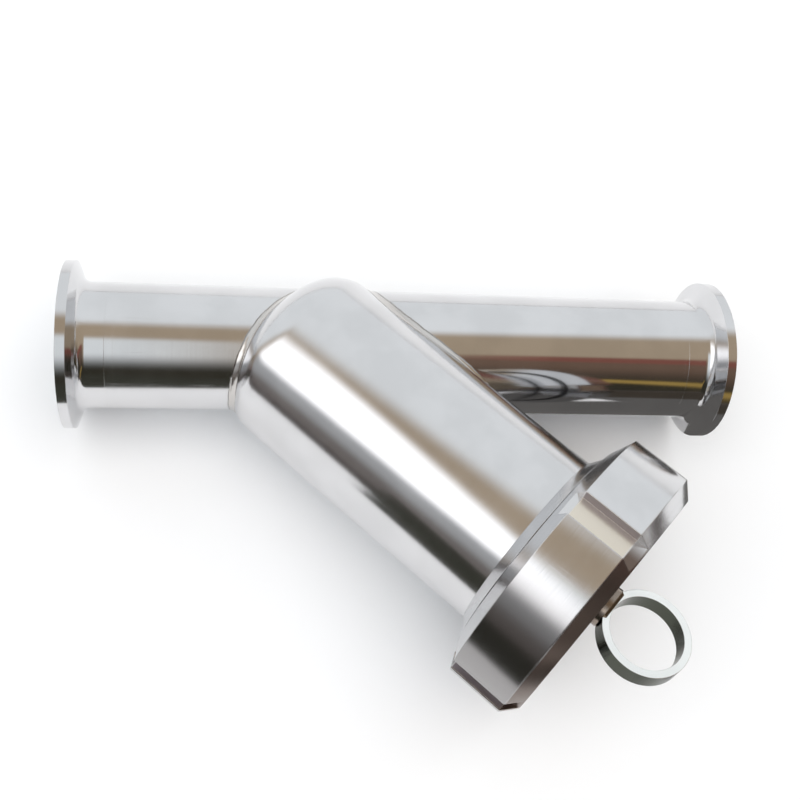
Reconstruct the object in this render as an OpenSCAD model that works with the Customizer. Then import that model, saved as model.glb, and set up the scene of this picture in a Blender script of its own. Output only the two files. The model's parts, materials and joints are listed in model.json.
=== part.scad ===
// Hygienic Y strainer on its side, with both ferrules and the union nut's rear rim on one level.
// Origin: centre of the inlet sealing face. +X runs along the pipe in the flow direction, +Z is up.

/* [Pipe run] */
// Outside diameter of the run tube
tube_od = 38.1; // [25.4:0.1:38.1]
// Wall thickness of the run tube
tube_wall = 1.65; // [1.2:0.05:2]
// From the branch point to the inlet sealing face
inlet_length = 68.7; // [60:0.1:90]
// From the branch point to the outlet sealing face
outlet_length = 134.3; // [120:0.1:160]

/* [Ferrules] */
// Outside diameter of the clamp rim
ferrule_od = 50.5; // [50:0.1:51]
// Thickness of the rim at its edge
rim_edge = 2.85; // [2.5:0.05:3.2]
// Slope of the back of the rim, in degrees
rim_slope = 20; // [15:1:25]
// Radius of the fillet between the back of the rim and the ferrule's neck
neck_fillet = 3; // [1:0.5:3.5]
// Length of the ferrule up to its weld
ferrule_length = 12.7; // [10:0.1:16]
// Centre diameter of the gasket groove
groove_diameter = 43.5; // [42:0.1:45]
// Radius of the gasket groove's round section
groove_radius = 1.5; // [1:0.1:1.6]

/* [Barrel] */
// Angle between the run and the barrel
branch_angle = 45; // [45:1:46]
// Outside diameter of the barrel
barrel_od = 57; // [56:0.1:58]
// Wall thickness of the barrel and its domed end
barrel_wall = 2; // [1.5:0.1:2.2]
// Where the barrel ends at the threaded liner, from the branch point
barrel_end = 92.3; // [92:0.1:95]
// Where the dome starts, from the branch point
dome_base = 5.5; // [5.5:0.1:8]
// Height of the dome
dome_height = 15; // [15:0.1:20]
// Outside radius of the dome's rounded edge
dome_knuckle = 12.5; // [12:0.1:14]

/* [Welds] */
// Width of a ground butt weld
butt_weld = 1.2; // [0.8:0.1:2]
// Leg of the branch fillet welds
branch_weld = 2; // [2:0.1:2.4]

/* [Seat] */
// Thickness of the seat ring for the screen
seat_thickness = 3; // [2:0.1:3]
// Bore of the seat ring
seat_bore = 41; // [38:0.5:42]

/* [Threaded liner] */
// Outside radius at the foot of the thread
cone_radius = 32.6; // [31.5:0.1:32.8]
// Length of the cone from the barrel to the foot of the thread
cone_length = 2.9; // [2:0.1:4]
// Crest radius of the liner's round thread
male_crest = 33; // [32.8:0.05:33]
// Thread pitch, six turns to the inch
thread_pitch = 4.2333; // [4.2333]
// Depth of the round thread
thread_depth = 1.6; // [1:0.1:2]
// Length of the liner from the barrel weld to its gasket face
liner_length = 13.6; // [13:0.1:14]

/* [Union nut] */
// Outside diameter of the nut
nut_od = 84; // [83:0.5:85]
// Where the nut's rear face is, from the branch point
nut_rear = 95.6; // [95.4:0.1:95.8]
// Height of the nut
nut_height = 24.4; // [24:0.1:26]
// Radial size of the rear chamfer
rear_chamfer_radial = 7; // [3:0.1:7.5]
// Axial size of the rear chamfer
rear_chamfer_axial = 3.3; // [2:0.1:5]
// Radial size of the front chamfer
front_chamfer_radial = 4.5; // [3:0.1:6]
// Axial size of the front chamfer
front_chamfer_axial = 3.8; // [2:0.1:5]
// Width of a spanner slot
slot_width = 8.1; // [7:0.1:12]
// Depth of a spanner slot
slot_depth = 4.2; // [3:0.1:5]
// Turn of the slots about the barrel axis from straight up, in degrees
slot_turn = 7; // [0:1:89]
// Bore of the front flange that holds the cover
nut_mouth = 54; // [51:0.5:56]
// Gap between the nut's thread and the liner's
thread_gap = 0.35; // [0.3:0.05:0.4]

/* [Cover] */
// Outside diameter of the blind cover
cover_od = 63.6; // [62:0.1:64]
// Thickness of the cover's rim
cover_rim = 5; // [4:0.1:5.2]
// Diameter of the cover's spigot
spigot_od = 49.6; // [46:0.1:51]
// Length of the cover's spigot
spigot_length = 8; // [6:0.1:9]
// Diameter of the raised centre of the cover
cover_centre_od = 50; // [44:0.5:52]
// Height of the raised centre of the cover
cover_centre_height = 3.5; // [2:0.1:5]

/* [Gasket] */
// Inside diameter of the cover gasket
gasket_id = 53.4; // [53.2:0.1:54]
// Outside diameter of the cover gasket
gasket_od = 59; // [58:0.1:59.4]
// Thickness of the cover gasket
gasket_thickness = 3; // [2:0.1:4]
// Depth of the counterbore in the liner that holds the gasket
gasket_recess = 1.6; // [1:0.1:2]

/* [Ring handle] */
// Diameter of the boss that carries the ring
boss_diameter = 13; // [10:0.5:14]
// How far the boss stands out of the nut
boss_proud = 1.8; // [1.2:0.1:2]
// Leg of the fillet welds along the ring
ring_weld = 1; // [0.8:0.1:1.2]
// Outside diameter of the ring
ring_od = 26.2; // [26:0.2:27]
// Wall thickness of the ring
ring_wall = 2.2; // [2:0.1:3]
// Width of the ring
ring_width = 5.6; // [4:0.1:8]
// Centre of the ring, from the branch point
ring_centre = 133.8; // [133.5:0.1:134.5]
// Turn of the ring about the barrel axis, in degrees
ring_turn = -5; // [-90:1:90]

/* [Screen] */
// Outside diameter of the perforated core
core_od = 42; // [40:0.1:43]
// Wall thickness of the perforated core
core_wall = 1; // [0.8:0.1:1.5]
// Diameter of a hole in the core
hole_diameter = 5; // [3:0.1:5.5]
// Number of holes around the core
holes_around = 16; // [10:1:18]
// Number of rows of holes along the core
hole_rows = 12; // [8:1:12]
// Thickness of the woven sleeve
mesh_thickness = 0.5; // [0.3:0.1:0.6]
// Diameter of the screen's end rings
end_ring_od = 50.4; // [49:0.1:50.6]
// Length of an end ring
end_ring_length = 6; // [5:0.1:7]
// Section diameter of the O-rings
o_ring_section = 2; // [1.5:0.1:2.4]
// Width of the sleeve's lap seam
seam_width = 6; // [4:0.5:8]

/* [Hidden] */
$fn = 96;

gap = 0.4;                  // clearance between bodies that move past each other
tube_r = tube_od / 2;
bore_r = tube_r - tube_wall;
barrel_r = barrel_od / 2;
barrel_bore_r = barrel_r - barrel_wall;
ferrule_r = ferrule_od / 2;
nut_r = nut_od / 2;
run_split = tube_r * 0.75;  // inside the barrel, past where the inlet tube meets the dome
steel = [0.78, 0.78, 0.8];
bright_steel = [0.88, 0.88, 0.9];
weld_steel = [0.7, 0.69, 0.68];
white_rubber = [0.9, 0.9, 0.88];
mesh_steel = [0.6, 0.6, 0.62];

// Tilt about the run that puts both ferrules and the nut's rear rim on one plane
nut_reach = (nut_rear + rear_chamfer_axial) * sin(branch_angle);
tilt_a = pow(nut_reach, 2) + pow(nut_r * sin(branch_angle), 2);
tilt_b = nut_reach * ferrule_r;
tilt_c = pow(ferrule_r, 2) - pow(nut_r, 2);
rest_tilt = asin((sqrt(tilt_b * tilt_b - tilt_a * tilt_c) - tilt_b) / tilt_a);

// Dome: a shallow crown that meets the rounded edge smoothly
knuckle_centre = barrel_r - dome_knuckle;
crown_r = (pow(dome_height, 2) + pow(knuckle_centre, 2) - pow(dome_knuckle, 2))
    / (2 * (dome_height - dome_knuckle));
crown_centre = dome_base - dome_height + crown_r;
crown_slope = knuckle_centre / (crown_r - dome_knuckle);

// Places along the barrel, from the branch point
thread_foot = barrel_end + cone_length;
liner_face = barrel_end + liner_length;
thread_root = male_crest - thread_depth;
ridge_r = thread_pitch / 4;
ridges = floor((liner_face - thread_foot) / thread_pitch);
cover_back = liner_face - gasket_recess + gasket_thickness;
cover_front = cover_back + cover_rim;
nut_front = nut_rear + nut_height;
nut_minor = male_crest + thread_gap;
nut_grooves = floor((cover_back - nut_rear) / thread_pitch);
boss_top = nut_front + boss_proud;
seat_face = seat_thickness / 2;

// Places and radii of the screen
core_r = core_od / 2;
core_bore_r = core_r - core_wall;
mesh_r = core_r + mesh_thickness;
end_ring_r = end_ring_od / 2;
o_ring_r = o_ring_section / 2;
element_start = seat_face + gap;
element_end = cover_back - spigot_length - gap;
screen_start = element_start + end_ring_length;
screen_end = element_end - end_ring_length;
row_pitch = (screen_end - screen_start) / hole_rows;
seat_ring_r = mesh_r + 2;
seat_o_ring_circle = (seat_ring_r + core_r) / 2;

// Places children drawn about the branch point in the lying pose
module lying() {
    translate([inlet_length, 0, 0]) rotate([-rest_tilt, 0, 0]) children();
}

// Local +Z runs from the branch point towards the inlet
module towards_inlet() {
    lying() rotate([0, -90, 0]) children();
}

// Local +Z runs from the branch point towards the outlet
module towards_outlet() {
    lying() rotate([0, 90, 0]) children();
}

// Local +Z runs along the barrel towards the nut, local -X faces up
module along_barrel() {
    lying() rotate([0, 90, -branch_angle]) children();
}

// Round tube from one height to another
module tube(outer, inner, from, to) {
    translate([0, 0, from]) difference() {
        cylinder(r = outer, h = to - from);
        translate([0, 0, -1]) cylinder(r = inner, h = to - from + 2);
    }
}

// Ring of round section
module torus(circle_r, section_r) {
    rotate_extrude() translate([circle_r, 0]) circle(r = section_r, $fn = 24);
}

// Solid dished head, its wall moved in by inset, closed at the dome base
module head(inset) {
    meeting_r = (crown_r - inset) * crown_slope;
    rotate_extrude() {
        intersection() {
            translate([0, crown_centre]) circle(r = crown_r - inset, $fn = 360);
            translate([0, dome_base - 2 * dome_height]) square([meeting_r, 2 * dome_height]);
        }
        intersection() {
            translate([knuckle_centre, dome_base]) circle(r = dome_knuckle - inset);
            translate([meeting_r, dome_base - 2 * dome_height]) square([barrel_od, 2 * dome_height]);
        }
    }
}

// Outside of the dome and barrel as one solid, grown by a margin
module vessel(margin) {
    head(-margin);
    translate([0, 0, dome_base]) cylinder(r = barrel_r + margin, h = barrel_end - dome_base);
}

// Clamp ferrule whose sealing face stands at the given distance
module ferrule(face) {
    slope_length = (ferrule_r - tube_r) * tan(rim_slope);
    neck_corner = face - rim_edge - slope_length;
    fillet_leg = neck_fillet * tan(45 - rim_slope / 2);
    rotate_extrude() difference() {
        polygon([[bore_r, face], [ferrule_r, face], [ferrule_r, face - rim_edge],
            [tube_r + fillet_leg * cos(rim_slope), neck_corner + fillet_leg * sin(rim_slope)],
            [tube_r, neck_corner - fillet_leg], [tube_r, face - ferrule_length],
            [bore_r, face - ferrule_length]]);
        translate([tube_r + neck_fillet, neck_corner - fillet_leg]) circle(r = neck_fillet);
        translate([groove_diameter / 2, face]) circle(r = groove_radius, $fn = 24);
    }
}

// Ground weld between a ferrule and its tube
module ferrule_weld(face) {
    weld_start = face - ferrule_length - butt_weld;
    tube(tube_r, bore_r, weld_start, weld_start + butt_weld);
}

// Run tube from inside the vessel to the ferrule weld, before it is coped
module run_tube(from, face) {
    tube(tube_r, bore_r, from, face - ferrule_length - butt_weld);
}

module inlet_ferrule() {
    color(bright_steel) towards_inlet() ferrule(inlet_length);
}

module outlet_ferrule() {
    color(bright_steel) towards_outlet() ferrule(outlet_length);
}

module inlet_ferrule_weld() {
    color(weld_steel) towards_inlet() ferrule_weld(inlet_length);
}

module outlet_ferrule_weld() {
    color(weld_steel) towards_outlet() ferrule_weld(outlet_length);
}

module inlet_tube() {
    color(steel) difference() {
        towards_inlet() run_tube(-run_split, inlet_length);
        along_barrel() vessel(0);
    }
}

module outlet_tube() {
    color(steel) difference() {
        towards_outlet() run_tube(run_split, outlet_length);
        along_barrel() vessel(0);
    }
}

module inlet_branch_weld() {
    color(weld_steel) difference() {
        for (reach = [0.2, 0.5, 0.8]) intersection() {
            towards_inlet() translate([0, 0, -run_split])
                cylinder(r = tube_r + branch_weld * (1 - reach), h = inlet_length);
            along_barrel() vessel(branch_weld * reach);
        }
        towards_inlet() translate([0, 0, -outlet_length]) cylinder(r = tube_r, h = 3 * inlet_length);
        along_barrel() vessel(0);
    }
}

module outlet_branch_weld() {
    color(weld_steel) difference() {
        for (reach = [0.2, 0.5, 0.8]) intersection() {
            towards_outlet() translate([0, 0, run_split])
                cylinder(r = tube_r + branch_weld * (1 - reach), h = inlet_length);
            along_barrel() vessel(branch_weld * reach);
        }
        towards_outlet() cylinder(r = tube_r, h = outlet_length);
        along_barrel() vessel(0);
    }
}

// Flow bore of the outlet, carried on inside the vessel
module outlet_bore() {
    towards_outlet() translate([0, 0, run_split]) cylinder(r = bore_r, h = outlet_length);
}

module dome_end() {
    color(bright_steel) difference() {
        along_barrel() difference() {
            head(0);
            head(barrel_wall);
        }
        towards_inlet() translate([0, 0, -run_split]) cylinder(r = bore_r, h = inlet_length);
        outlet_bore();
    }
}

module dome_weld() {
    color(weld_steel) difference() {
        along_barrel() tube(barrel_r, barrel_bore_r, dome_base, dome_base + butt_weld);
        outlet_bore();
    }
}

module barrel() {
    color(bright_steel) difference() {
        along_barrel()
            tube(barrel_r, barrel_bore_r, dome_base + butt_weld, barrel_end - butt_weld);
        outlet_bore();
    }
}

module liner_weld() {
    color(weld_steel) along_barrel()
        tube(barrel_r, barrel_bore_r, barrel_end - butt_weld, barrel_end);
}

module seat_ring() {
    color(steel) along_barrel() difference() {
        intersection() {
            head(barrel_wall);
            translate([0, 0, -seat_face]) cylinder(r = barrel_r, h = seat_thickness);
        }
        translate([0, 0, -seat_thickness]) cylinder(d = seat_bore, h = 2 * seat_thickness);
    }
}

module threaded_liner() {
    color(steel) along_barrel() rotate_extrude() difference() {
        union() {
            polygon([[0, barrel_end], [barrel_r, barrel_end], [cone_radius, thread_foot],
                [thread_root, thread_foot], [thread_root, liner_face], [0, liner_face]]);
            for (i = [0 : ridges - 1])
                translate([male_crest - ridge_r, thread_foot + thread_pitch * (i + 0.75)])
                    circle(r = ridge_r, $fn = 24);
        }
        translate([-1, barrel_end - 1]) square([barrel_bore_r + 1, liner_length + 2]);
        translate([-1, liner_face - gasket_recess]) square([gasket_od / 2 + 1.2, gasket_recess + 1]);
    }
}

module cover_gasket() {
    color(white_rubber) along_barrel()
        tube(gasket_od / 2, gasket_id / 2, cover_back - gasket_thickness, cover_back);
}

module cover() {
    color(bright_steel) along_barrel() {
        translate([0, 0, cover_back - spigot_length]) cylinder(d = spigot_od, h = spigot_length + 1);
        translate([0, 0, cover_back]) cylinder(d = cover_od, h = cover_rim);
        translate([0, 0, cover_front - 1]) cylinder(d = cover_centre_od, h = cover_centre_height + 1);
    }
}

// Local +Z runs along the ring's own axis and local +X back to the boss
module at_ring() {
    along_barrel() translate([0, 0, ring_centre]) rotate([0, 0, ring_turn]) rotate([0, 90, 0]) children();
}

module handle_boss() {
    boss_foot = cover_front + cover_centre_height;
    color(steel) difference() {
        along_barrel() translate([0, 0, boss_foot])
            cylinder(d = boss_diameter, h = boss_top - boss_foot);
        at_ring() cylinder(d = ring_od, h = ring_width, center = true);
    }
}

module ring_handle() {
    color(steel) at_ring() tube(ring_od / 2, ring_od / 2 - ring_wall, -ring_width / 2, ring_width / 2);
}

module handle_weld() {
    foot = ring_centre - boss_top;
    side = ring_width / 2;
    color(weld_steel) at_ring() for (face = [0, 1]) mirror([0, 0, face])
        rotate([90, 0, 0]) linear_extrude(height = boss_diameter * 0.75, center = true)
            polygon([[foot, side], [foot - ring_weld, side], [foot, side + ring_weld]]);
}

module union_nut() {
    color(bright_steel) along_barrel() difference() {
        rotate_extrude() difference() {
            polygon([[0, nut_rear], [nut_r - rear_chamfer_radial, nut_rear],
                [nut_r, nut_rear + rear_chamfer_axial], [nut_r, nut_front - front_chamfer_axial],
                [nut_r - front_chamfer_radial, nut_front], [0, nut_front]]);
            translate([-1, nut_rear - 1]) square([nut_mouth / 2 + 1, nut_height + 2]);
            translate([-1, nut_rear - 1]) square([nut_minor + 1, cover_front + gap - nut_rear + 1]);
            for (i = [0 : nut_grooves - 1])
                translate([nut_minor + thread_depth - ridge_r, nut_rear + thread_pitch * (i + 0.75)])
                    circle(r = ridge_r, $fn = 24);
        }
        for (turn = [0, 90, 180, 270]) rotate([0, 0, slot_turn + turn])
            translate([nut_r - slot_depth, -slot_width / 2, nut_rear - 1])
                cube([slot_depth + 1, slot_width, nut_height + 2]);
    }
}

module screen_core() {
    color(steel) along_barrel() difference() {
        tube(core_r, core_bore_r, screen_start, screen_end);
        for (row = [0 : hole_rows - 1], i = [0 : holes_around - 1])
            rotate([0, 0, 360 / holes_around * (i + (row % 2) / 2)])
                translate([core_bore_r - core_wall, 0, screen_start + row_pitch * (row + 0.5)])
                    rotate([0, 90, 0]) cylinder(d = hole_diameter, h = 3 * core_wall, $fn = 24);
    }
}

module screen_mesh() {
    color(mesh_steel) along_barrel() tube(mesh_r, core_r, screen_start, screen_end);
}

module mesh_seam() {
    color(steel) along_barrel() intersection() {
        tube(mesh_r + mesh_thickness, mesh_r, screen_start, screen_end);
        translate([0, -seam_width / 2, screen_start])
            cube([core_od, seam_width, screen_end - screen_start]);
    }
}

module screen_top_ring() {
    color(bright_steel) along_barrel() difference() {
        tube(end_ring_r, core_bore_r, screen_end, element_end);
        translate([0, 0, (screen_end + element_end) / 2]) torus(end_ring_r, o_ring_r);
    }
}

module screen_seat_ring() {
    color(bright_steel) along_barrel() difference() {
        tube(seat_ring_r, core_bore_r, element_start, screen_start);
        translate([0, 0, element_start + o_ring_r - gap / 4]) torus(seat_o_ring_circle, o_ring_r);
    }
}

module top_o_ring() {
    color(white_rubber) along_barrel()
        translate([0, 0, (screen_end + element_end) / 2]) torus(end_ring_r, o_ring_r);
}

module seat_o_ring() {
    color(white_rubber) along_barrel()
        translate([0, 0, element_start + o_ring_r - gap / 4]) torus(seat_o_ring_circle, o_ring_r);
}

inlet_ferrule();
inlet_ferrule_weld();
inlet_tube();
inlet_branch_weld();
outlet_ferrule();
outlet_ferrule_weld();
outlet_tube();
outlet_branch_weld();
dome_end();
dome_weld();
barrel();
liner_weld();
threaded_liner();
seat_ring();
cover_gasket();
cover();
handle_boss();
ring_handle();
handle_weld();
union_nut();
screen_core();
screen_mesh();
mesh_seam();
screen_top_ring();
screen_seat_ring();
top_o_ring();
seat_o_ring();
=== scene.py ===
import json
import math

import bmesh
import bpy
from mathutils import Matrix, Vector


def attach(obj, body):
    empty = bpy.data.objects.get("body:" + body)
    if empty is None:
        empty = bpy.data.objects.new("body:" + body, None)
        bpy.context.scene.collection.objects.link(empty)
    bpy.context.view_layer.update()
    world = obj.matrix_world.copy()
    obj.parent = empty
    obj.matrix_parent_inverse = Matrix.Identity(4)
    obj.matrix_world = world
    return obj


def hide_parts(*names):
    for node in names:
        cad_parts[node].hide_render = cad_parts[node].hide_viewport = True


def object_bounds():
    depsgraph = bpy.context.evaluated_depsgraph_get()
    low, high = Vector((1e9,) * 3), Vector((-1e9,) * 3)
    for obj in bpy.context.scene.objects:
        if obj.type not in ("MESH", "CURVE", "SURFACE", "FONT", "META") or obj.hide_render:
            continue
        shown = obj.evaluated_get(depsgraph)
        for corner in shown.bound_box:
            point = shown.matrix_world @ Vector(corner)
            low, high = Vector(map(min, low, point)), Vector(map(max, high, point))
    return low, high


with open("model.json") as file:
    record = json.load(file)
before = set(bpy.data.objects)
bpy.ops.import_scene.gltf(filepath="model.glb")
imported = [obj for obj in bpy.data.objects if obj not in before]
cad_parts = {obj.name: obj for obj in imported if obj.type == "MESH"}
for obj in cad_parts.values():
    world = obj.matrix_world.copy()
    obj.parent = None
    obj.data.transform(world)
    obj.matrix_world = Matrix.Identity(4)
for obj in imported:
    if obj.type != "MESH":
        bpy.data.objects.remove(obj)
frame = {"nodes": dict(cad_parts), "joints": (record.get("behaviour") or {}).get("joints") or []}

cad_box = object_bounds()
nodes = frame["nodes"]
scene = bpy.context.scene

# Lengths in metres, taken from the frame
MM = 0.001
nut_joint = next(j for j in frame["joints"] if j["name"] == "nut_turn")
barrel_axis = Vector(nut_joint["axis"]).normalized()
nut_rear = Vector(nut_joint["pos_m"])
branch = nut_rear - barrel_axis * (nut_rear.y / barrel_axis.y)
run_axis = Vector((1, 0, 0))
bench_z = cad_box[0].z
tilt = math.atan2(barrel_axis.z, -barrel_axis.y)
plane_normal = Vector((0, math.sin(tilt), math.cos(tilt)))
upright = plane_normal.cross(barrel_axis)


# ---------------------------------------------------------------- node helpers

class Graph:
    """A material's or a world's node tree, with short calls for the nodes used here."""

    def __init__(self, owner):
        owner.use_nodes = True
        self.tree = owner.node_tree
        self.tree.nodes.clear()

    def add(self, kind, settings=None, **inputs):
        node = self.tree.nodes.new(kind)
        for name, value in (settings or {}).items():
            setattr(node, name, value)
        for name, value in inputs.items():
            self.feed(node.inputs[name.replace("_", " ")], value)
        return node

    def feed(self, socket, value):
        if isinstance(value, bpy.types.NodeSocket):
            self.tree.links.new(value, socket)
        else:
            socket.default_value = value

    def math(self, operation, *values):
        node = self.add("ShaderNodeMath", {"operation": operation})
        for socket, value in zip(node.inputs, values):
            self.feed(socket, value)
        return node.outputs[0]

    def dot(self, vector, direction):
        node = self.add("ShaderNodeVectorMath", {"operation": "DOT_PRODUCT"})
        self.feed(node.inputs[0], vector)
        self.feed(node.inputs[1], tuple(direction))
        return node.outputs["Value"]

    def ramp(self, value, start, end, low=0.0, high=1.0):
        """Smooth step of value from low at start to high at end."""
        node = self.add("ShaderNodeMapRange", {"interpolation_type": "SMOOTHSTEP"})
        if start > end:
            start, end, low, high = end, start, high, low
        for name, number in zip(("From Min", "From Max", "To Min", "To Max"), (start, end, low, high)):
            node.inputs[name].default_value = number
        self.feed(node.inputs["Value"], value)
        return node.outputs["Result"]

    def strip(self, value, centre, half):
        """One where value is near a centre, fading to nothing on both sides."""
        return self.math("MULTIPLY", self.ramp(value, centre - half, centre - half / 3),
                         self.ramp(value, centre + half, centre + half / 3))

    def mix(self, factor, first, second):
        node = self.add("ShaderNodeMix", {"data_type": "RGBA"})
        colours = [s for s in node.inputs if s.type == "RGBA"]
        self.feed(node.inputs[0], factor)
        for socket, value in zip(colours, (first, second)):
            self.feed(socket, value if isinstance(value, bpy.types.NodeSocket) else (*value, 1))
        return next(s for s in node.outputs if s.type == "RGBA")

    def noise(self, vector, scale, detail=3.0, rough=0.5):
        node = self.add("ShaderNodeTexNoise")
        node.inputs["Scale"].default_value = scale
        node.inputs["Detail"].default_value = detail
        node.inputs["Roughness"].default_value = rough
        self.feed(node.inputs["Vector"], vector)
        return node.outputs["Fac"]

    def bump(self, height, depth, normal=None):
        node = self.add("ShaderNodeBump")
        node.inputs["Distance"].default_value = depth
        node.inputs["Strength"].default_value = 1.0
        self.feed(node.inputs["Height"], height)
        if normal is not None:
            self.feed(node.inputs["Normal"], normal)
        return node.outputs["Normal"]

    def place(self):
        return self.add("ShaderNodeTexCoord").outputs["Object"]

    def facing(self, direction):
        """How squarely the surface faces along a direction of the part, from 0 to 1."""
        normal = self.add("ShaderNodeTexCoord").outputs["Normal"]
        return self.math("ABSOLUTE", self.dot(normal, direction))

    def along_and_out(self):
        """Distance along the barrel from the branch point, distance out from its axis, and how squarely
        the surface faces straight out from the axis."""
        from_branch = self.add("ShaderNodeVectorMath", {"operation": "SUBTRACT"})
        self.feed(from_branch.inputs[0], self.place())
        self.feed(from_branch.inputs[1], tuple(branch))
        vector = from_branch.outputs["Vector"]
        along = self.dot(vector, barrel_axis)
        squared = self.add("ShaderNodeVectorMath", {"operation": "DOT_PRODUCT"})
        self.feed(squared.inputs[0], vector)
        self.feed(squared.inputs[1], vector)
        out = self.math("SUBTRACT", squared.outputs["Value"], self.math("MULTIPLY", along, along))
        out = self.math("SQRT", out)
        normal = self.add("ShaderNodeTexCoord").outputs["Normal"]
        facing = self.add("ShaderNodeVectorMath", {"operation": "DOT_PRODUCT"})
        self.feed(facing.inputs[0], normal)
        self.feed(facing.inputs[1], vector)
        lengthways = self.math("MULTIPLY", along, self.dot(normal, barrel_axis))
        sideways = self.math("SUBTRACT", facing.outputs["Value"], lengthways)
        return along, out, self.math("ABSOLUTE", self.math("DIVIDE", sideways, out))


def stretched(g, axis, along, across):
    """Object coordinates scaled along an axis and across it, so that noise becomes streaks."""
    place = g.place()
    side = axis.orthogonal().normalized()
    third = axis.cross(side)
    combine = g.add("ShaderNodeCombineXYZ")
    for socket, direction, scale in zip(combine.inputs, (axis, side, third), (along, across, across)):
        g.feed(socket, g.math("MULTIPLY", g.dot(place, direction), scale))
    return combine.outputs[0]


class Metal:
    """Stainless steel: lathe lines round an axis, slow waves left by polishing, uneven gloss."""

    def __init__(self, name, colour, roughness, axis, turned=0.0, waviness=0.0, spread=0.04, edge=0.25):
        self.material = bpy.data.materials.new(name)
        self.g = g = Graph(self.material)
        self.shader = g.add("ShaderNodeBsdfPrincipled")
        self.shader.inputs["Metallic"].default_value = 1.0
        lines = g.noise(stretched(g, axis, 1500, 12), 1.0, 4.0, 0.6)
        clouds = g.noise(g.place(), 60, 4.0)
        scratches = g.noise(stretched(g, axis, 40, 900), 1.0, 2.0, 0.7)
        dark = tuple(c * 0.93 for c in colour)
        self.colour = g.mix(g.ramp(clouds, 0.35, 0.65), dark, colour)
        uneven = g.math("ADD", g.math("MULTIPLY", lines, 0.4), g.math("MULTIPLY", clouds, 0.4))
        uneven = g.math("ADD", uneven, g.math("MULTIPLY", g.ramp(scratches, 0.62, 0.72), 0.2))
        self.rough = g.ramp(uneven, 0.3, 0.7, roughness - spread / 2, roughness + spread / 2)
        rounded = None
        if edge:
            bevel = g.add("ShaderNodeBevel", {"samples": 4})
            bevel.inputs["Radius"].default_value = edge * MM
            rounded = bevel.outputs[0]
        normal = g.bump(lines, turned, rounded)
        self.normal = g.bump(g.noise(stretched(g, axis, 18, 60), 1.0, 1.0), waviness, normal)

    def patch(self, mask, colour=None, roughness=None, grain=0.0, scale=700):
        """Gives the places under a mask their own colour, gloss and grain."""
        g = self.g
        if colour:
            self.colour = g.mix(mask, self.colour, colour)
        if roughness:
            self.rough = g.math("ADD", g.math("MULTIPLY", self.rough, g.math("SUBTRACT", 1.0, mask)),
                                g.math("MULTIPLY", mask, roughness))
        if grain:
            bumps = g.math("MULTIPLY", g.noise(g.place(), scale, 3.0), mask)
            self.normal = g.bump(bumps, grain, self.normal)

    def finish(self):
        self.g.feed(self.shader.inputs["Base Color"], self.colour)
        self.g.feed(self.shader.inputs["Roughness"], self.rough)
        self.g.feed(self.shader.inputs["Normal"], self.normal)
        output = self.g.add("ShaderNodeOutputMaterial")
        self.g.feed(output.inputs["Surface"], self.shader.outputs[0])
        return self.material


def metal(*settings, **named):
    return Metal(*settings, **named).finish()


def nut_metal():
    """Turned faces, creamy slot floors, rough-milled slot walls, painted shade low on the rim and on the rear
    step, and a painted dark reflection low on the front chamfer.
    """
    # Where one face gives way to the next, or where painted shade starts and is full, in metres along the
    # barrel, out from its axis, or up from it
    rear_edge, front_edge, rim_edge = (0.0988, 0.0992), (0.1164, 0.1158), (0.0418, 0.0415)
    slot_floor, slot_wall = 0.6, 0.4
    chamfer_start, chamfer_foot, chamfer_shade = (0.1161, 0.1165), (0.0372, 0.0376), (0.001, -0.006)
    rim_shade = (-0.022, -0.032)
    lip_end, lip_edge = (0.0966, 0.0962), (0.0351, 0.0348)

    nut = Metal("nut_steel", steel, 0.2, barrel_axis, turned=0.012 * MM, spread=0.1, edge=0.4)
    g = nut.g
    along, out, facing = g.along_and_out()
    middle = g.math("MULTIPLY", g.ramp(along, *rear_edge), g.ramp(along, *front_edge))
    slots = g.math("MULTIPLY", middle, g.ramp(out, *rim_edge))
    walls = g.math("MULTIPLY", slots, g.ramp(facing, slot_floor, slot_wall))
    nut.patch(slots, (0.82, 0.77, 0.68), 0.3)
    nut.patch(walls, (0.34, 0.31, 0.34), 0.45, 0.08 * MM)
    front = g.math("MULTIPLY", g.ramp(along, *chamfer_start), g.ramp(out, *chamfer_foot))
    height = g.dot(g.place(), upright)
    axis_height = upright.dot(branch)
    # Painted dark reflection: the front chamfer is painted dark brown below the barrel axis
    painted_chamfer_shade = g.ramp(height, *(axis_height + step for step in chamfer_shade))
    nut.patch(g.math("MULTIPLY", front, painted_chamfer_shade), (0.17, 0.13, 0.11), 0.28)
    # Painted shade: the outer rim is painted a darker grey low down, below the barrel axis
    low = g.ramp(height, *(axis_height + step for step in rim_shade))
    nut.patch(g.math("MULTIPLY", g.ramp(out, *reversed(rim_edge)), low), (0.34, 0.33, 0.33), 0.2)
    # Painted shade: the narrow step at the nut's rear, next to the barrel, is painted near black
    painted_lip_shade = g.math("MULTIPLY", g.ramp(along, *lip_end), g.ramp(out, *lip_edge))
    nut.patch(painted_lip_shade, (0.03, 0.03, 0.03), 0.5)
    return nut.finish()


def ring_metal():
    """Pale flat faces, and a painted dark reflection on the turned inner and outer band."""
    ring = Metal("ring_steel", (0.93, 0.94, 0.92), 0.2, ring_axis, spread=0.08)
    # Painted dark reflection: surfaces that do not face along the ring's axis are painted near black
    painted_reflection_bands = ring.g.ramp(ring.g.facing(ring_axis), 0.75, 0.55)
    ring.patch(painted_reflection_bands, (0.07, 0.076, 0.06), 0.2)
    return ring.finish()


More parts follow.
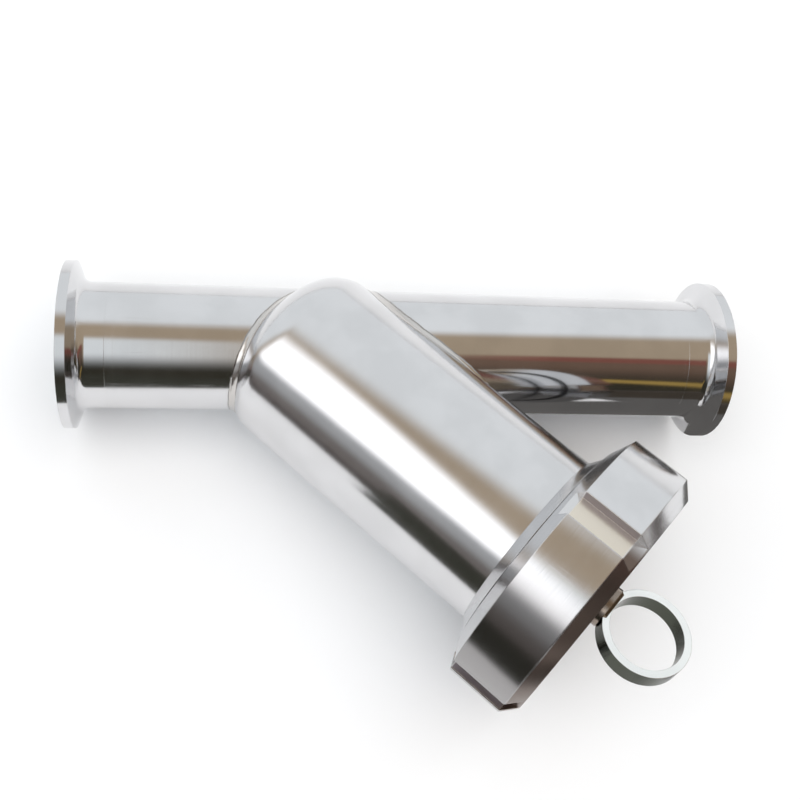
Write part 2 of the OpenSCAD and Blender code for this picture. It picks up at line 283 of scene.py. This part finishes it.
def woven_metal():
    """Plain weave of fine wire: two sets of crossing wires wound on the sleeve."""
    woven = Metal("woven_wire", (0.5, 0.5, 0.51), 0.35, barrel_axis, edge=0.1)
    g = woven.g
    wires_per_metre = 9000
    waves = [g.math("SINE", g.math("MULTIPLY", g.dot(g.place(), (barrel_axis + side) * 0.7), wires_per_metre))
             for side in (plane_normal, -plane_normal)]
    weave = g.math("MULTIPLY", *waves)
    woven.patch(g.ramp(weave, 0.1, -0.6), (0.12, 0.12, 0.12), 0.5)
    woven.normal = g.bump(weave, 0.12 * MM, woven.normal)
    return woven.finish()


def rubber(name, colour):
    material = bpy.data.materials.new(name)
    g = Graph(material)
    shader = g.add("ShaderNodeBsdfPrincipled", None, Roughness=0.6)
    grain = g.noise(g.place(), 900, 3.0)
    g.feed(shader.inputs["Base Color"], g.mix(grain, tuple(c * 0.9 for c in colour), colour))
    g.feed(shader.inputs["Normal"], g.bump(grain, 0.03 * MM))
    g.feed(g.add("ShaderNodeOutputMaterial").inputs["Surface"], shader.outputs[0])
    return material


# ---------------------------------------------------------------- materials

steel = (0.70, 0.70, 0.71)
ring_axis = Vector((0.06163, 0.29049, 0.95489))  # the axis of the record's ring_eye mount
run_steel = metal("run_steel", steel, 0.12, run_axis, turned=0.002 * MM, waviness=0.02 * MM, edge=0)
inlet_steel = metal("inlet_steel", steel, 0.19, run_axis,
                    turned=0.004 * MM, waviness=0.06 * MM, spread=0.12, edge=0)
ferrule_steel = metal("ferrule_steel", steel, 0.13, run_axis, turned=0.003 * MM, edge=0.2)
barrel_steel = metal("barrel_steel", steel, 0.17, barrel_axis, turned=0.003 * MM, waviness=0.03 * MM, edge=0)
turned_steel = metal("turned_steel", steel, 0.2, barrel_axis, turned=0.01 * MM, spread=0.1)
weld_steel = metal("weld_steel", (0.62, 0.60, 0.58), 0.2, barrel_axis, waviness=0.1 * MM)
boss_steel = metal("boss_steel", (0.3, 0.25, 0.21), 0.22, barrel_axis, turned=0.01 * MM)
ring_weld = metal("ring_weld", (0.36, 0.29, 0.22), 0.25, barrel_axis, waviness=0.1 * MM)
nut_steel = nut_metal()
ring_steel = ring_metal()
woven_wire = woven_metal()
white_rubber = rubber("white_rubber", (0.8, 0.8, 0.76))

finishes = {
    "inlet_ferrule": ferrule_steel, "outlet_ferrule": ferrule_steel,
    "inlet_tube": inlet_steel, "outlet_tube": run_steel,
    "inlet_ferrule_weld": inlet_steel, "outlet_ferrule_weld": run_steel,
    "barrel": barrel_steel, "dome_end": barrel_steel,
    "dome_weld": barrel_steel, "liner_weld": barrel_steel,
    "inlet_branch_weld": weld_steel, "outlet_branch_weld": weld_steel, "handle_weld": ring_weld,
    "handle_boss": boss_steel,
    "union_nut": nut_steel, "ring_handle": ring_steel, "screen_mesh": woven_wire,
    "cover_gasket": white_rubber, "top_o_ring": white_rubber, "seat_o_ring": white_rubber,
}
for name, node in nodes.items():
    node.data.materials.clear()
    node.data.materials.append(finishes.get(name, turned_steel))


# ---------------------------------------------------------------- branch welds

# Outside radii and the dome's shape in mm, the same as the CAD's
TUBE_R = 19.05
BARREL_R = 28.5
DOME_BASE, DOME_HEIGHT, KNUCKLE = 5.5, 15.0, 12.5
KNUCKLE_R = BARREL_R - KNUCKLE
CROWN_R = (DOME_HEIGHT ** 2 + KNUCKLE_R ** 2 - KNUCKLE ** 2) / (2 * (DOME_HEIGHT - KNUCKLE))
CROWN_Z = DOME_BASE - DOME_HEIGHT + CROWN_R


def vessel_distance(point):
    """Distance in mm from a point, in mm from the branch point, to the outside of the vessel."""
    along = point.dot(barrel_axis)
    out = (point - barrel_axis * along).length
    if along >= DOME_BASE:
        return out - BARREL_R
    if out > (CROWN_Z - along) * KNUCKLE_R / (CROWN_Z - DOME_BASE):
        return math.hypot(out - KNUCKLE_R, along - DOME_BASE) - KNUCKLE
    return math.hypot(out, along - CROWN_Z) - CROWN_R


def fillet_point(flow, turn, off_tube, off_vessel):
    """The point at given distances off a run tube and off the vessel, or None if there is none."""
    radial = Vector((0, math.cos(turn), math.sin(turn))) * (TUBE_R + off_tube)
    reach, most_steps, close_enough = 80.0, 200, 0.02
    for _ in range(most_steps):
        step = vessel_distance(flow * reach + radial) - off_vessel
        reach -= step
    return branch + (flow * reach + radial) * MM if abs(step) < close_enough else None


def fillet_profile(flow, turn, leg, arcs):
    """One cross-section of a fillet, with its legs cut back where the vessel barely rises. Its last point
    is sunk a little under both surfaces."""
    sunk = (-0.1, -0.1)
    angles = [math.pi / 2 * j / arcs for j in range(arcs + 1)]
    while True:
        offsets = [(leg * (1 - math.sin(angle)), leg * (1 - math.cos(angle))) for angle in angles]
        points = [fillet_point(flow, turn, *pair) for pair in offsets + [sunk]]
        if all(points):
            return points
        leg *= 0.85


def branch_fillet(name, node, flow):
    """A concave weld fillet swept round the joint, with a faint ripple along it."""
    steps, arcs = 240, 8
    verts = []
    for i in range(steps):
        turn = math.tau * i / steps
        leg = 1.5 - 0.7 * max(0, math.cos(turn + tilt)) ** 2
        leg += 0.05 * math.sin(19 * turn) + 0.03 * math.sin(47 * turn + 1)
        verts += fillet_profile(flow, turn, leg, arcs)
    ring = arcs + 2
    faces = []
    for i in range(steps):
        for j in range(ring):
            after, above = (i + 1) % steps, (j + 1) % ring
            corners = [(i, j), (after, j), (after, above), (i, above)]
            faces.append([a * ring + b for a, b in corners])
    mesh = bpy.data.meshes.new(name)
    mesh.from_pydata(verts, [], faces)
    bm = bmesh.new()
    bm.from_mesh(mesh)
    bmesh.ops.recalc_face_normals(bm, faces=bm.faces)
    bm.to_mesh(mesh)
    bm.free()
    mesh.polygons.foreach_set("use_smooth", [True] * len(mesh.polygons))
    mesh.materials.append(weld_steel)
    obj = bpy.data.objects.new(name, mesh)
    scene.collection.objects.link(obj)
    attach(obj, "housing")
    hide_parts(node)


branch_fillet("inlet_fillet", "inlet_branch_weld", -run_axis)
branch_fillet("outlet_fillet", "outlet_branch_weld", run_axis)


# ---------------------------------------------------------------- bench, light and camera

def bench():
    mesh = bpy.data.meshes.new("bench")
    half = 4.0
    corners = [(x * half, y * half, bench_z) for x, y in ((-1, -1), (1, -1), (1, 1), (-1, 1))]
    mesh.from_pydata(corners, [], [(0, 1, 2, 3)])
    obj = bpy.data.objects.new("bench", mesh)
    scene.collection.objects.link(obj)
    material = bpy.data.materials.new("bench_white")
    g = Graph(material)
    shader = g.add("ShaderNodeBsdfPrincipled", None, Roughness=0.8)
    shader.inputs["Base Color"].default_value = (0.9, 0.92, 0.945, 1)
    g.feed(g.add("ShaderNodeOutputMaterial").inputs["Surface"], shader.outputs[0])
    mesh.materials.append(material)


def backdrop():
    """A pale wall round the bench that hides the room from the camera but not from the steel."""
    radius, height, steps = 3.9, 5.0, 48
    turns = [math.tau * i / steps for i in range(steps)]
    ring = [(radius * math.cos(turn), radius * math.sin(turn)) for turn in turns]
    verts = [(x, y, bench_z) for x, y in ring] + [(x, y, height) for x, y in ring]
    faces = [(i, (i + 1) % steps, steps + (i + 1) % steps, steps + i) for i in range(steps)]
    mesh = bpy.data.meshes.new("backdrop")
    mesh.from_pydata(verts, [], faces)
    obj = bpy.data.objects.new("backdrop", mesh)
    scene.collection.objects.link(obj)
    material = bpy.data.materials.new("backdrop")
    g = Graph(material)
    glow = g.add("ShaderNodeEmission")
    glow.inputs["Color"].default_value = (0.9, 0.91, 0.92, 1)
    g.feed(g.add("ShaderNodeOutputMaterial").inputs["Surface"], glow.outputs[0])
    mesh.materials.append(material)
    obj.visible_glossy = False
    obj.visible_diffuse = False
    obj.visible_shadow = False


def studio_world():
    """A room as polished steel shows it: pale far wall, tan beam overhead, a window to the left, and a dark
    near side with a red and a gold strip. Each ramp runs over a part of the unit direction: x to the right,
    y away from the camera, z up."""
    world = bpy.data.worlds.new("studio")
    scene.world = world
    g = Graph(world)
    direction = g.add("ShaderNodeTexCoord").outputs["Generated"]
    x = g.dot(direction, (1, 0, 0))
    y = g.dot(direction, (0, 1, 0))
    z = g.dot(direction, (0, 0, 1))
    sill = g.dot(direction, (0, 0.6, 1))
    pale = (0.92, 0.95, 0.97)
    tan = (0.45, 0.36, 0.26)
    haze = (0.88, 0.92, 0.94)
    umber = (0.17, 0.11, 0.08)
    window = (1.9, 1.9, 1.92)
    under_window = (0.43, 0.44, 0.45)
    near_left = (0.19, 0.17, 0.16)
    near_dark = (0.037, 0.034, 0.025)
    colour = g.mix(g.ramp(y, 0.44, 0.18), pale, tan)
    colour = g.mix(g.math("MULTIPLY", g.ramp(y, -0.08, -0.24), g.ramp(x, 0.1, -0.1)), colour, haze)
    colour = g.mix(g.math("MULTIPLY", g.ramp(y, -0.28, -0.5), g.ramp(x, -0.02, 0.25)), colour, umber)
    low = g.math("MULTIPLY", g.ramp(z, 0.56, 0.3), g.ramp(y, 0.0, -0.35))
    colour = g.mix(g.math("MAXIMUM", g.ramp(y, -0.55, -0.92), low), colour, near_dark)
    right = g.ramp(x, 0.18, 0.32)
    colour = g.mix(g.math("MULTIPLY", right, g.strip(y, -0.41, 0.1)), colour, (0.24, 0.09, 0.07))
    colour = g.mix(g.math("MULTIPLY", right, g.strip(y, -0.86, 0.03)), colour, (0.4, 0.27, 0.08))
    left = g.mix(g.ramp(sill, 0.4, 0.2), window, under_window)
    left = g.mix(g.ramp(sill, 0.1, -0.15), left, near_left)
    left = g.mix(g.ramp(sill, -0.25, -0.45), left, near_dark)
    colour = g.mix(g.math("MULTIPLY", g.ramp(x, -0.4, -0.56), g.ramp(y, 0.3, 0.02)), colour, left)
    colour = g.mix(g.ramp(z, 0.0, -0.06), colour, (0.8, 0.8, 0.8))
    background = g.add("ShaderNodeBackground", None, Color=colour, Strength=1.0)
    g.feed(g.add("ShaderNodeOutputWorld").inputs["Surface"], background.outputs[0])


def dark_card(name, corners, colour, height=0.0):
    """A dark card that only shows in the steel: standing on the bench, or lying on it if it has no height."""
    foot = [Vector((x, y, bench_z + 0.3 * MM)) for x, y in corners]
    mesh = bpy.data.meshes.new(name)
    if height:
        head = [point + Vector((0, 0, height)) for point in foot]
        count = len(foot)
        mesh.from_pydata(foot + head, [], [(i, i + 1, count + i + 1, count + i) for i in range(count - 1)])
    else:
        mesh.from_pydata(foot, [], [range(len(foot))])
    obj = bpy.data.objects.new(name, mesh)
    scene.collection.objects.link(obj)
    material = bpy.data.materials.new(name)
    g = Graph(material)
    glow = g.add("ShaderNodeEmission")
    glow.inputs["Color"].default_value = (*colour, 1)
    g.feed(g.add("ShaderNodeOutputMaterial").inputs["Surface"], glow.outputs[0])
    mesh.materials.append(material)
    obj.visible_camera = False
    obj.visible_diffuse = False
    obj.visible_shadow = False


def soft_light(name, centre, aim, size, power):
    light = bpy.data.lights.new(name, "AREA")
    light.shape = "SQUARE"
    light.size = size
    light.energy = power
    obj = bpy.data.objects.new(name, light)
    obj.location = centre
    obj.rotation_mode = "QUATERNION"
    obj.rotation_quaternion = (Vector(aim) - Vector(centre)).to_track_quat("-Z", "Y")
    obj.visible_glossy = False
    scene.collection.objects.link(obj)


def photo_camera():
    """Looks down on the bench from above the near left, a little rolled."""
    data = bpy.data.cameras.new("camera")
    data.sensor_width = 36
    data.lens = 46.94
    obj = bpy.data.objects.new("camera", data)
    right = Vector((0.98615, -0.0371, 0.16164))
    up = Vector((-0.01701, 0.9469, 0.32108))
    back = right.cross(up)
    obj.matrix_world = Matrix((
        (right.x, up.x, back.x, 0.04722),
        (right.y, up.y, back.y, -0.11989),
        (right.z, up.z, back.z, 0.30376),
        (0, 0, 0, 1),
    ))
    scene.collection.objects.link(obj)
    scene.camera = obj


bench()
backdrop()
studio_world()
arc = [math.radians(a) for a in range(165, 391, 15)]
arc_x, arc_y, arc_r = 0.1, -0.03, 0.36
dark_card("table_edge", [(arc_x + arc_r * math.cos(a), arc_y + arc_r * math.sin(a)) for a in arc],
          (0.1, 0.085, 0.08), 0.05)
dark_card("nut_card", [(-0.03, -0.13), (0.03, -0.19), (0.1, -0.24)], (0.045, 0.045, 0.035), 0.075)
dark_card("ring_card", [(0.15, -0.175), (0.21, -0.165), (0.26, -0.13), (0.29, -0.07)],
          (0.06, 0.05, 0.04), 0.04)
crotch = [(0.105, -0.02), (0.235, -0.02), (0.3, -0.09), (0.3, -0.2), (0.2, -0.2), (0.2, -0.09), (0.15, -0.07)]
dark_card("crotch_card", crotch, (0.13, 0.125, 0.12))
soft_light("overhead", (0.15, -0.35, 1.5), (0.1, -0.03, 0), 1.8, 18.5)
photo_camera()
scene.view_settings.view_transform = "Standard"
